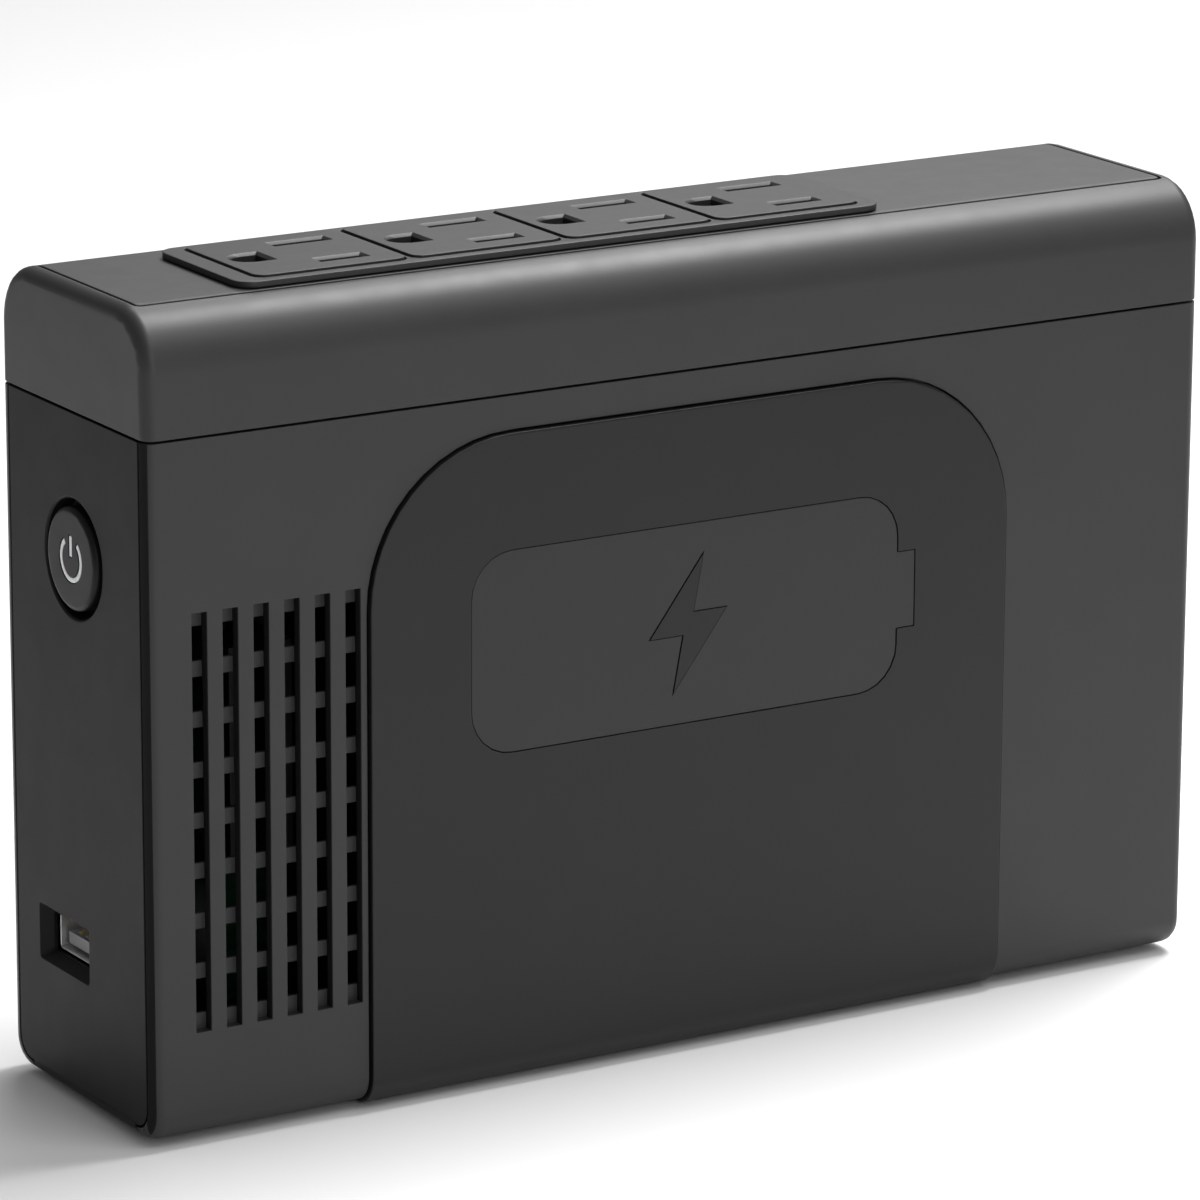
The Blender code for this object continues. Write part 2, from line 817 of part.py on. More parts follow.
def board_holes(back):
    """Cutters for the board's four screws, as far back as given."""
    radius = BOARD_SCREW_RADIUS + SCREW_CLEARANCE
    return [
        prism(circle(x, z, radius, 12), "Y", BOARD_HOLE_FRONT, back) for x, z in board_corners()
    ]


def screw_places():
    """(x, z) of the screws that go through the rear wall into the end plates."""
    reach = PLATE_THICKNESS + BOSS_REACH / 2
    return [(x, z) for x in (reach, BODY_LENGTH - reach) for z in BOSS_HEIGHTS]


def foot_outlines(grow=0.0):
    near = FOOT_SIDE_MARGIN - grow
    far = BODY_DEPTH - FOOT_SIDE_MARGIN + grow
    outlines = []
    for x in (FOOT_END_MARGIN, BODY_LENGTH - FOOT_END_MARGIN - FOOT_WIDTH):
        outlines.append(rounded(x - grow, near, x + FOOT_WIDTH + grow, far, FOOT_CORNER, 4))
    return outlines


def tab_places():
    return (CENTRE_X - TAB_FROM_MIDDLE, CENTRE_X + TAB_FROM_MIDDLE)


def tab_block(x, grow=0.0, front=0.0, back=0.0):
    top = COVER_TOP - TAB_BELOW_TOP
    return block(
        (x - TAB_WIDTH / 2 - grow, front, top - TAB_THICKNESS - grow),
        (x + TAB_WIDTH / 2 + grow, back, top + grow),
    )


def make_main_housing():
    housing = keep(body_form(), below(SEAM_Z - SEAM / 2))
    sleeve = prism(body_section(WALL), "X", -CUT_PAST, BODY_LENGTH + CUT_PAST)
    housing = cut(housing, sleeve, end_pocket(True), end_pocket(False))
    pocket = cover_skin(COVER_GAP, -CUT_PAST, COVER_SINK + PART_GAP, COVER_LIP + COVER_GAP)
    bay = block((BAY_LEFT, -CUT_PAST, BAY_FLOOR), (BAY_RIGHT, WALL + CUT_JUST, BAY_TOP))
    housing = cut(housing, pocket, bay)
    housing = cut(housing, *vent_slots())
    housing = cut(housing, *vent_bands())
    through = (PART_GAP, -CUT_JUST, WALL + CUT_JUST)
    housing = cut(housing, *[tab_block(x, *through) for x in tab_places()])
    feet = [prism(outline, "Z", -CUT_JUST, FOOT_RECESS) for outline in foot_outlines(PART_GAP)]
    housing = cut(housing, *feet)
    posts = [
        prism(circle(x, z, STANDOFF_RADIUS, 16), "Y", MAIN_BOARD_BACK + PART_GAP, REAR_WALL_Y + JOIN)
        for x, z in board_corners()
    ]
    housing = add(housing, *posts)
    holes = board_holes(REAR_WALL_Y + BOARD_HOLE_BOTTOM)
    back = BODY_DEPTH + CUT_PAST
    for x, z in screw_places():
        shaft = circle(x, z, SCREW_RADIUS + SCREW_CLEARANCE, 16)
        holes.append(prism(shaft, "Y", SCREW_HOLE_FRONT, back))
        head = circle(x, z, SCREW_HEAD + SCREW_CLEARANCE, 20)
        holes.append(prism(head, "Y", BODY_DEPTH - SCREW_SINK, back))
    return finish(cut(housing, *holes), "main_housing", case_plastic())


def make_feet():
    for name, outline in zip(("foot_left", "foot_right"), foot_outlines()):
        foot = prism(outline, "Z", -FOOT_PROUD, FOOT_RECESS - PART_GAP)
        finish(foot, name, rubber())


# ---------------------------------------------------------------- end plates


def end_plate(left):
    """A plate with two screw bosses, cut from the body's own rounded end."""
    near, far = (-CUT_PAST, PLATE_THICKNESS)
    if not left:
        near, far = (BODY_LENGTH - PLATE_THICKNESS, BODY_LENGTH + CUT_PAST)
    plate = keep(body_form(), prism(plate_outline(-SEAM / 2, SEAM_Z - SEAM / 2), "X", near, far))
    inner = PLATE_THICKNESS - JOIN
    bosses = []
    for z in BOSS_HEIGHTS:
        low_x, high_x = inner, PLATE_THICKNESS + BOSS_REACH
        if not left:
            low_x, high_x = BODY_LENGTH - high_x, BODY_LENGTH - low_x
        bosses.append(
            block(
                (low_x, BOSS_Y - BOSS_SIZE / 2, z - BOSS_SIZE / 2),
                (high_x, BOSS_Y + BOSS_SIZE / 2, z + BOSS_SIZE / 2),
            )
        )
    return add(plate, *bosses)


def boss_holes(left):
    reach = PLATE_THICKNESS + BOSS_REACH / 2
    x = reach if left else BODY_LENGTH - reach
    back = BOSS_Y + BOSS_SIZE / 2 + CUT_JUST
    return [
        prism(circle(x, z, SCREW_RADIUS + SCREW_CLEARANCE, 16), "Y", back - SCREW_LENGTH, back)
        for z in BOSS_HEIGHTS
    ]


def usb_ring(grow, x):
    half_y = USB_WIDTH / 2 + grow
    half_z = USB_HEIGHT / 2 + grow
    low = (USB_Y - half_y, USB_Z - half_z)
    return placed(rounded(*low, USB_Y + half_y, USB_Z + half_z, USB_CORNER, 3), "X", x)


def usb_recess():
    chamfer = USB_CHAMFER + SCREW_CLEARANCE
    return loft(
        [
            usb_ring(chamfer + CUT_JUST * USB_CHAMFER / USB_CHAMFER_DEPTH, -CUT_JUST),
            usb_ring(chamfer, 0),
            usb_ring(SCREW_CLEARANCE, USB_CHAMFER_DEPTH),
            usb_ring(SCREW_CLEARANCE, PLATE_THICKNESS + CUT_JUST),
        ]
    )


def make_left_end_plate():
    plate = end_plate(True)
    rim = circle(BUTTON_Y, BUTTON_Z, WELL_RADIUS + WELL_WALL, 40)
    cup = prism(rim, "X", CUP_FRONT, WELL_FLOOR_X + WELL_FLOOR)
    plate = add(plate, cup)
    well = loft(
        [
            placed(circle(BUTTON_Y, BUTTON_Z, WELL_RADIUS + WELL_LEAD_IN, 48), "X", -CUT_JUST),
            placed(circle(BUTTON_Y, BUTTON_Z, WELL_RADIUS, 48), "X", WELL_LEAD_DEPTH),
            placed(circle(BUTTON_Y, BUTTON_Z, WELL_RADIUS, 48), "X", WELL_FLOOR_X),
        ]
    )
    stem = circle(BUTTON_Y, BUTTON_Z, GUIDE_STEM_RADIUS + PART_GAP, 32)
    guide = prism(stem, "X", CUP_FRONT, CONTROL_BOARD_X)
    plate = cut(plate, well, guide, usb_recess(), *boss_holes(True))
    return finish(plate, "left_end_plate", case_plastic())


def inlet_outline(width, height, cut_off=0.0, corner=INLET_CORNER):
    """The inlet seen from the end: a rectangle whose upper corners may be cut off."""
    low_y = CENTRE_Y - width / 2
    high_y = CENTRE_Y + width / 2
    low_z = INLET_Z - height / 2
    high_z = INLET_Z + height / 2
    if not cut_off:
        return rounded(low_y, low_z, high_y, high_z, corner, 4)
    return [
        (low_y, low_z),
        (high_y, low_z),
        (high_y, high_z - cut_off),
        (high_y - cut_off, high_z),
        (low_y + cut_off, high_z),
        (low_y, high_z - cut_off),
    ]


def make_right_end_plate():
    plate = end_plate(False)
    near = BODY_LENGTH - INLET_LENGTH
    far = BODY_LENGTH + CUT_PAST
    opening = inlet_outline(INLET_WIDTH + 2 * PART_GAP, INLET_HEIGHT + 2 * PART_GAP)
    inlet = prism(opening, "X", near, far)
    neck = prism(circle(CENTRE_Y, BREAKER_Z, BREAKER_NECK + PART_GAP, 32), "X", near, far)
    plate = cut(plate, inlet, neck, *boss_holes(False))
    return finish(plate, "right_end_plate", case_plastic())


def make_case_screws():
    for number, (x, z) in enumerate(screw_places(), start=1):
        seat = BODY_DEPTH - SCREW_SINK + THIN_GAP
        head = prism(circle(x, z, SCREW_HEAD, 20), "Y", seat, seat + SCREW_HEAD_HEIGHT)
        shaft = prism(circle(x, z, SCREW_RADIUS, 16), "Y", seat - SCREW_LENGTH, seat + JOIN)
        slots = []
        for half_x, half_z in (
            (SCREW_SLOT_REACH, SCREW_SLOT_HALF),
            (SCREW_SLOT_HALF, SCREW_SLOT_REACH),
        ):
            top = seat + SCREW_HEAD_HEIGHT
            low = (x - half_x, top - SCREW_SLOT_DEPTH, z - half_z)
            slots.append(block(low, (x + half_x, top + CUT_JUST, z + half_z)))
        finish(cut(add(head, shaft), *slots), f"case_screw_{number}", steel())


# ---------------------------------------------------------------- battery cover and battery


def emblem_outline():
    """A battery's outline with its contact nub on the right."""
    right = COVER_RIGHT - EMBLEM_SIDE_MARGIN - EMBLEM_NUB
    low = EMBLEM_Z - EMBLEM_HEIGHT / 2
    high = EMBLEM_Z + EMBLEM_HEIGHT / 2
    body = rounded(COVER_LEFT + EMBLEM_SIDE_MARGIN, low, right, high, EMBLEM_CORNER)
    nub_low = EMBLEM_Z - EMBLEM_NUB_HEIGHT / 2
    nub_high = EMBLEM_Z + EMBLEM_NUB_HEIGHT / 2
    nub = [
        (right, nub_low),
        (right + EMBLEM_NUB, nub_low),
        (right + EMBLEM_NUB, nub_high),
        (right, nub_high),
    ]
    half = len(body) // 2
    return body[:half] + nub + body[half:]


def bolt_outline():
    """A lightning bolt about the emblem's middle, drawn as shares of its height."""
    shape = (
        (0.12, 0.5),
        (-0.32, -0.08),
        (-0.04, -0.08),
        (-0.12, -0.5),
        (0.32, 0.08),
        (0.04, 0.08),
    )
    middle = CENTRE_X - EMBLEM_NUB / 2
    return [(middle + u * BOLT_HEIGHT, EMBLEM_Z + v * BOLT_HEIGHT) for u, v in shape]


def make_battery_cover():
    cover = cover_skin(0.0, -COVER_PROUD, COVER_SINK, COVER_LIP)
    soften = cover.modifiers.new("edge", "BEVEL")
    soften.width = COVER_EDGE * METRES
    soften.segments = 2
    soften.limit_method = "ANGLE"
    soften.angle_limit = math.radians(60)
    apply_modifiers(cover)
    floor = EMBLEM_THICKNESS + PART_GAP - COVER_PROUD
    pocket = prism(grown(emblem_outline(), THIN_GAP), "Y", -CUT_PAST, floor)
    pocket = cut(pocket, prism(bolt_outline(), "Y", -CUT_PAST - CUT_JUST, floor + CUT_JUST))
    cover = cut(cover, pocket)
    tabs = [tab_block(x, 0, COVER_SINK - JOIN, COVER_SINK + TAB_REACH) for x in tab_places()]
    cover = add(cover, *tabs)
    pivot = (CENTRE_X, 0.0, EMBLEM_Z)
    return finish(cover, "battery_cover", cover_plastic(), pivot)


def make_cover_emblem():
    front = THIN_GAP - COVER_PROUD
    back = front + EMBLEM_THICKNESS
    emblem = prism(emblem_outline(), "Y", front, back)
    bolt = prism(grown(bolt_outline(), THIN_GAP), "Y", front - CUT_JUST, back + CUT_JUST)
    emblem = cut(emblem, bolt)
    pivot = (CENTRE_X, 0.0, EMBLEM_Z)
    return finish(emblem, "cover_emblem", emblem_plastic(), pivot)


def make_battery_bay():
    """An open-fronted box behind the cover that the battery slides into."""
    low = (BAY_LEFT, BAY_FRONT, BAY_FLOOR)
    high = (BAY_RIGHT, BATTERY_BACK + BATTERY_CLEARANCE + BAY_WALL, BAY_TOP)
    inside_low = (low[0] + BAY_WALL, low[1] - CUT_JUST, low[2] + BAY_WALL)
    inside_high = (high[0] - BAY_WALL, high[1] - BAY_WALL, high[2] - BAY_WALL)
    bay = cut(block(low, high), block(inside_low, inside_high))
    notches = [
        block(
            (x - TERMINAL_WIDTH, BAY_FRONT - CUT_JUST, BAY_TOP - BAY_WALL - CUT_JUST),
            (x + TERMINAL_WIDTH, TERMINAL_Y + TERMINAL_WIDTH, BAY_TOP + CUT_JUST),
        )
        for x in terminal_places()
    ]
    return finish(cut(bay, *notches), "battery_bay", inner_plastic())


def terminal_places():
    edge = BAY_WALL + BATTERY_CLEARANCE + TERMINAL_MARGIN
    return (BAY_LEFT + edge, BAY_RIGHT - edge)


def make_battery():
    side = BAY_WALL + BATTERY_CLEARANCE
    body = block(
        (BAY_LEFT + side, BATTERY_FRONT, BAY_FLOOR + side),
        (BAY_RIGHT - side, BATTERY_BACK, BATTERY_TOP),
    )
    soften = body.modifiers.new("edge", "BEVEL")
    soften.width = BATTERY_ROUND * METRES
    soften.segments = 3
    apply_modifiers(body)
    return finish(body, "battery_pack", battery_case())


def make_terminals():
    for name, x in zip(("battery_terminal_positive", "battery_terminal_negative"), terminal_places()):
        half = TERMINAL_WIDTH / 2
        tab = block(
            (x - half, TERMINAL_Y, BATTERY_TOP + THIN_GAP),
            (x + half, TERMINAL_Y + TERMINAL_THICKNESS, BATTERY_TOP + TERMINAL_HEIGHT),
        )
        finish(tab, name, brass())


def tube(points, radius, name, look):
    """A round lead through smooth points, as a poly curve with filled caps."""
    curve = bpy.data.curves.new(name, "CURVE")
    curve.dimensions = "3D"
    curve.bevel_depth = radius * METRES
    curve.bevel_resolution = 2
    curve.use_fill_caps = True
    spline = curve.splines.new("POLY")
    spline.points.add(len(points) - 1)
    for target, point in zip(spline.points, points):
        target.co = (*[METRES * value for value in point], 1.0)
    curve.materials.append(look)
    made = bpy.data.objects.new(name, curve)
    bpy.context.scene.collection.objects.link(made)
    return made


def bezier(start, pull_start, pull_end, end, count=14):
    """Points of one cubic curve."""
    points = []
    for i in range(count + 1):
        t = i / count
        weights = ((1 - t) ** 3, 3 * t * (1 - t) ** 2, 3 * t * t * (1 - t), t**3)
        corners = (start, pull_start, pull_end, end)
        points.append(
            tuple(sum(w * corner[k] for w, corner in zip(weights, corners)) for k in range(3))
        )
    return points


def make_battery_leads():
    names = ("battery_lead_positive", "battery_lead_negative")
    looks = (red_insulation(), black_insulation())
    for name, x, look in zip(names, terminal_places(), looks):
        start = (x, TERMINAL_Y + TERMINAL_THICKNESS / 2, BATTERY_TOP + TERMINAL_HEIGHT + PART_GAP)
        level = BAY_TOP + LEAD_RISE
        end = (x, PARTS_BACK, level)
        pull_start = (x, start[1], level + LEAD_RISE)
        pull_end = (x, end[1] - 3 * LEAD_RISE, level)
        tube(bezier(start, pull_start, pull_end, end), LEAD_RADIUS, name, look)


# ---------------------------------------------------------------- power button and USB port


def symbol_arc(inner, outer, open_half):
    """The open ring of the power symbol as (y, z) points."""
    start = math.radians(90 + open_half)
    sweep = math.radians(360 - 2 * open_half)
    steps = 20
    turns = [start + sweep * i / steps for i in range(steps + 1)]
    ring = [(outer * math.cos(t), outer * math.sin(t)) for t in turns]
    ring += [(inner * math.cos(t), inner * math.sin(t)) for t in reversed(turns)]
    return [(BUTTON_Y + u, BUTTON_Z + v) for u, v in ring]


def symbol_tools(grow, low, high):
    half = SYMBOL_STROKE / 2 + grow
    trim = math.degrees(grow / SYMBOL_RADIUS)
    middle = SYMBOL_RADIUS - SYMBOL_STROKE / 2
    arc = symbol_arc(middle - half, middle + half, SYMBOL_OPENING - trim)
    bar = block(
        (low, BUTTON_Y - half, BUTTON_Z + SYMBOL_STROKE / 2 - grow),
        (high, BUTTON_Y + half, BUTTON_Z + SYMBOL_RADIUS + grow),
    )
    return [prism(arc, "X", low, high), bar]


def make_power_button():
    steps = 40
    front = -BUTTON_PROUD
    rings = []
    for i in range(4):
        turn = math.radians(90 * i / 3)
        radius = BUTTON_RADIUS - BUTTON_ROUND * (1 - math.sin(turn))
        x = front + BUTTON_ROUND * (1 - math.cos(turn))
        rings.append(placed(circle(BUTTON_Y, BUTTON_Z, radius, steps), "X", x))
    rings.append(placed(circle(BUTTON_Y, BUTTON_Z, BUTTON_RADIUS, steps), "X", BUTTON_BACK))
    cap = loft(rings)
    hollow = BUTTON_RADIUS - BUTTON_SKIN
    skin_back = front + BUTTON_SKIN
    inside = circle(BUTTON_Y, BUTTON_Z, hollow, 32)
    cap = cut(cap, prism(inside, "X", skin_back, BUTTON_BACK + CUT_JUST))
    cap = cut(cap, *symbol_tools(THIN_GAP, front - CUT_JUST, skin_back + CUT_JUST))
    return finish(cap, "power_button", case_plastic(), (0.0, BUTTON_Y, BUTTON_Z))


def make_button_light_guide():
    front = -BUTTON_PROUD
    disc_front = front + BUTTON_SKIN + THIN_GAP
    radius = BUTTON_RADIUS - BUTTON_SKIN - PART_GAP
    disc = prism(circle(BUTTON_Y, BUTTON_Z, radius, 32), "X", disc_front, BUTTON_BACK)
    stem_end = SWITCH_FACE - PLUNGER_REACH - PART_GAP
    joined = disc_front + JOIN
    stem = prism(circle(BUTTON_Y, BUTTON_Z, GUIDE_STEM_RADIUS, 24), "X", joined, stem_end)
    guide = add(disc, stem, *symbol_tools(0.0, front + THIN_GAP / 2, joined))
    return finish(guide, "button_light_guide", light_guide(), (0.0, BUTTON_Y, BUTTON_Z))


def make_power_switch():
    half = SWITCH_SIZE / 2
    body = block(
        (SWITCH_FACE, BUTTON_Y - half, BUTTON_Z - half),
        (CONTROL_BOARD_X - PART_GAP, BUTTON_Y + half, BUTTON_Z + half),
    )
    bore = prism(
        circle(BUTTON_Y, BUTTON_Z, PLUNGER_RADIUS + PART_GAP, 20),
        "X",
        SWITCH_FACE - CUT_JUST,
        SWITCH_FACE + PLUNGER_REACH + BUTTON_TRAVEL + PART_GAP,
    )
    finish(cut(body, bore), "power_switch", inner_plastic())
    plunger = prism(
        circle(BUTTON_Y, BUTTON_Z, PLUNGER_RADIUS, 20),
        "X",
        SWITCH_FACE - PLUNGER_REACH,
        SWITCH_FACE + PLUNGER_REACH,
    )
    finish(plunger, "switch_plunger", inner_plastic(), (0.0, BUTTON_Y, BUTTON_Z))


def make_status_led():
    led = prism(
        circle(BUTTON_Y, BUTTON_Z - LED_OFFSET, LED_RADIUS, 16),
        "X",
        SWITCH_FACE - PLUNGER_REACH,
        CONTROL_BOARD_X - PART_GAP,
    )
    finish(led, "status_led", light_guide())


def make_control_board():
    board = block(
        (CONTROL_BOARD_X, CONTROL_BOARD_SIDE, CONTROL_BOARD_LOW),
        (
            CONTROL_BOARD_X + BOARD_THICKNESS,
            CONTROL_BOARD_SIDE + CONTROL_BOARD_DEPTH,
            BUTTON_Z + CONTROL_BOARD_ABOVE_BUTTON,
        ),
    )
    finish(board, "control_board", circuit_board())


def make_usb_port():
    front = USB_SINK
    back = CONTROL_BOARD_X - PART_GAP
    shell = loft([usb_ring(0, front), usb_ring(0, back)])
    inside = [usb_ring(-USB_METAL, x) for x in (front - CUT_JUST, back + CUT_JUST)]
    finish(cut(shell, loft(inside)), "usb_shell", steel())
    half_width = USB_WIDTH / 2 - USB_METAL - SCREW_CLEARANCE
    half_height = USB_HEIGHT / 2 - USB_METAL - SCREW_CLEARANCE
    rear = block(
        (back - USB_REAR, USB_Y - half_width, USB_Z - half_height),
        (back, USB_Y + half_width, USB_Z + half_height),
    )
    tongue_low = USB_Z - half_height + USB_TONGUE_LIFT
    tongue = block(
        (front + USB_TONGUE_SETBACK, USB_Y - USB_TONGUE_WIDTH / 2, tongue_low),
        (back - USB_REAR / 2, USB_Y + USB_TONGUE_WIDTH / 2, tongue_low + USB_TONGUE),
    )
    finish(add(rear, tongue), "usb_tongue", port_plastic())


# ---------------------------------------------------------------- main board and its parts


def make_main_board():
    board = block(
        (MAIN_BOARD_LEFT, MAIN_BOARD_FACE, MAIN_BOARD_LOW),
        (BODY_LENGTH - MAIN_BOARD_RIGHT, MAIN_BOARD_BACK, SEAM_Z - MAIN_BOARD_BELOW_SEAM),
    )
    finish(cut(board, *board_holes(BODY_DEPTH)), "main_board", circuit_board())
    for number, (x, z) in enumerate(board_corners(), start=1):
        seat = MAIN_BOARD_FACE - THIN_GAP
        head = prism(
            circle(x, z, BOARD_SCREW_HEAD, 16), "Y", seat - BOARD_SCREW_HEAD_HEIGHT, seat
        )
        shaft = prism(
            circle(x, z, BOARD_SCREW_RADIUS, 12), "Y", seat - JOIN, seat + BOARD_SCREW_LENGTH
        )
        finish(add(head, shaft), f"board_screw_{number}", steel())


def make_heat_sink():
    right = SINK_LEFT + SINK_WIDTH
    top = SINK_LOW + SINK_HEIGHT
    base = block((SINK_LEFT, PARTS_BACK - SINK_BASE, SINK_LOW), (right, PARTS_BACK, top))
    pitch = (SINK_WIDTH - SINK_FIN) / (SINK_FINS - 1)
    fins = [
        block(
            (SINK_LEFT + i * pitch, PARTS_BACK - SINK_DEPTH, SINK_LOW),
            (SINK_LEFT + i * pitch + SINK_FIN, PARTS_BACK - SINK_BASE / 2, top),
        )
        for i in range(SINK_FINS)
    ]
    finish(add(base, *fins), "heat_sink", black_anodised())
    for number in (1, 2):
        low = top + TRANSISTOR_ABOVE_SINK
        left = SINK_LEFT + (number - 1) * (TRANSISTOR_WIDTH + PART_GAP) - TRANSISTOR_ABOVE_SINK
        body = block(
            (left, PARTS_BACK - TRANSISTOR_THICKNESS, low),
            (left + TRANSISTOR_WIDTH, PARTS_BACK, low + TRANSISTOR_HEIGHT),
        )
        finish(body, f"power_transistor_{number}", inner_plastic())


def make_capacitors():
    z = BAY_TOP + CAPACITOR_ABOVE_BAY + CAPACITOR_RADIUS
    for number in range(CAPACITOR_COUNT):
        outline = circle(CAPACITOR_X + number * CAPACITOR_PITCH, z, CAPACITOR_RADIUS, 20)
        can = prism(outline, "Y", PARTS_BACK - CAPACITOR_LENGTH, PARTS_BACK)
        finish(can, f"capacitor_{number + 1}", black_insulation())


def make_relays():
    left = BODY_LENGTH - RELAY_FROM_RIGHT
    for number in (1, 2):
        low = RELAY_LOW + (number - 1) * (RELAY_HEIGHT + RELAY_GAP)
        body = block(
            (left, PARTS_BACK - RELAY_DEPTH, low),
            (left + RELAY_WIDTH, PARTS_BACK, low + RELAY_HEIGHT),
        )
        finish(body, f"transfer_relay_{number}", relay_blue())


def make_transformer():
    """A core with two windows, and a coil round its middle limb."""
    left = BODY_LENGTH - CORE_FROM_RIGHT
    right = left + CORE_WIDTH
    middle = PARTS_BACK - CORE_DEPTH / 2
    top = CORE_LOW + CORE_HEIGHT
    core = block((left, PARTS_BACK - CORE_DEPTH, CORE_LOW), (right, PARTS_BACK, top))
    near = CORE_MIDDLE_LIMB / 2
    far = CORE_DEPTH / 2 - CORE_LIMB
    windows = [
        block(
            (left + CORE_LIMB, middle + min(side * near, side * far), CORE_LOW - CUT_JUST),
            (right - CORE_LIMB, middle + max(side * near, side * far), top + CUT_JUST),
        )
        for side in (-1, 1)
    ]
    finish(cut(core, *windows), "transformer_core", steel())
    wall = far - near - 2 * COIL_GAP
    inner_y = near + COIL_GAP
    inner_z = CORE_HEIGHT / 2 + COIL_GAP
    centre = CORE_LOW + CORE_HEIGHT / 2
    low_x = left + CORE_LIMB + COIL_GAP
    high_x = right - CORE_LIMB - COIL_GAP
    coil = block(
        (low_x, middle - inner_y - wall, centre - inner_z - wall),
        (high_x, middle + inner_y + wall, centre + inner_z + wall),
    )
    hole = block(
        (low_x - CUT_JUST, middle - inner_y, centre - inner_z),
        (high_x + CUT_JUST, middle + inner_y, centre + inner_z),
    )
    finish(cut(coil, hole), "transformer_coil", copper_winding())


# ---------------------------------------------------------------- mains inlet and breaker


def make_inlet():
    back = BODY_LENGTH - INLET_LENGTH
    face = BODY_LENGTH + THIN_GAP
    front = face + INLET_FLANGE_THICKNESS
    housing = prism(inlet_outline(INLET_WIDTH, INLET_HEIGHT), "X", back, face + JOIN)
    flange = prism(
        inlet_outline(INLET_WIDTH + 2 * INLET_FLANGE, INLET_HEIGHT + 2 * INLET_FLANGE),
        "X",
        face,
        front,
    )
    cavity = prism(
        inlet_outline(INLET_CAVITY_WIDTH, INLET_CAVITY_HEIGHT, INLET_CAVITY_CUT),
        "X",
        front - INLET_CAVITY_DEPTH,
        front + CUT_JUST,
    )
    housing = cut(add(housing, flange), cavity)
    slots = [
        pin_block(y, z, PART_GAP / 2, back - CUT_JUST, back + INLET_PIN_SLOT)
        for y, z in pin_places()
    ]
    finish(cut(housing, *slots), "inlet_housing", inner_plastic())
    names = ("inlet_pin_line", "inlet_pin_earth", "inlet_pin_neutral")
    tip = front - INLET_CAVITY_DEPTH + INLET_PIN_LENGTH
    for name, (y, z) in zip(names, pin_places()):
        finish(pin_block(y, z, 0.0, back - INLET_PIN_TAIL, tip), name, brass())


def pin_places():
    return (
        (CENTRE_Y - INLET_PIN_SPACING, INLET_Z - INLET_EARTH_RISE / 2),
        (CENTRE_Y, INLET_Z + INLET_EARTH_RISE / 2),
        (CENTRE_Y + INLET_PIN_SPACING, INLET_Z - INLET_EARTH_RISE / 2),
    )


def pin_block(y, z, grow, low, high):
    half_y = INLET_PIN_THICKNESS / 2 + grow
    half_z = INLET_PIN_WIDTH / 2 + grow
    return block((low, y - half_y, z - half_z), (high, y + half_y, z + half_z))


def make_breaker():
    plate = BODY_LENGTH - PLATE_THICKNESS
    half = BREAKER_SIZE / 2
    inner = plate - PART_GAP
    body = block(
        (inner - BREAKER_LENGTH, CENTRE_Y - half, BREAKER_Z - half),
        (inner, CENTRE_Y + half, BREAKER_Z + half),
    )
    face = BODY_LENGTH + BREAKER_NECK_PROUD
    neck = prism(circle(CENTRE_Y, BREAKER_Z, BREAKER_NECK, 32), "X", inner - CUT_JUST, face)
    bore = prism(
        circle(CENTRE_Y, BREAKER_Z, BREAKER_BUTTON + BREAKER_CLEARANCE, 28),
        "X",
        face - BREAKER_BUTTON_LENGTH - PART_GAP,
        face + CUT_PAST,
    )
    finish(cut(add(body, neck), bore), "breaker_body", inner_plastic())
    button = prism(
        circle(CENTRE_Y, BREAKER_Z, BREAKER_BUTTON, 28), "X", face - BREAKER_BUTTON_LENGTH, face
    )
    finish(button, "breaker_button", black_insulation(), (BODY_LENGTH, CENTRE_Y, BREAKER_Z))


# ---------------------------------------------------------------- the whole object


def clear_scene():
    for old in list(bpy.data.objects):
        bpy.data.objects.remove(old)


def carry_to_frame():
    """Parents every piece to one empty that sets the origin under the object's middle."""
    right_proud = THIN_GAP + INLET_FLANGE_THICKNESS
    carrier = bpy.data.objects.new("ups", None)
    carrier.location = (
        -METRES * (BODY_LENGTH + right_proud - BUTTON_PROUD) / 2,
        -METRES * (BODY_DEPTH - COVER_PROUD) / 2,
        METRES * FOOT_PROUD,
    )
    pieces = list(bpy.context.scene.collection.objects)
    bpy.context.scene.collection.objects.link(carrier)
    for piece in pieces:
        piece.parent = carrier


def main():
    clear_scene()
    make_top_cap()
    make_top_panel()
    make_outlet_frame()
    for index in range(OUTLET_COUNT):
        make_outlet(index)
    make_outlet_base()
    make_contacts()
    make_main_housing()
    make_feet()
    make_left_end_plate()
    make_right_end_plate()
    make_case_screws()
    make_battery_cover()
    make_cover_emblem()
    make_battery_bay()
    make_battery()
    make_terminals()
    make_battery_leads()
    make_power_button()
    make_button_light_guide()
    make_power_switch()
    make_status_led()
    make_control_board()
    make_usb_port()
    make_main_board()
    make_heat_sink()
    make_capacitors()
    make_relays()
    make_transformer()
    make_inlet()
    make_breaker()
    carry_to_frame()


main()
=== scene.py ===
"""Looks of the slim uninterruptible power supply: materials, small details, camera and light."""

import json
import math

import bmesh
import bpy
from mathutils import Matrix, Vector

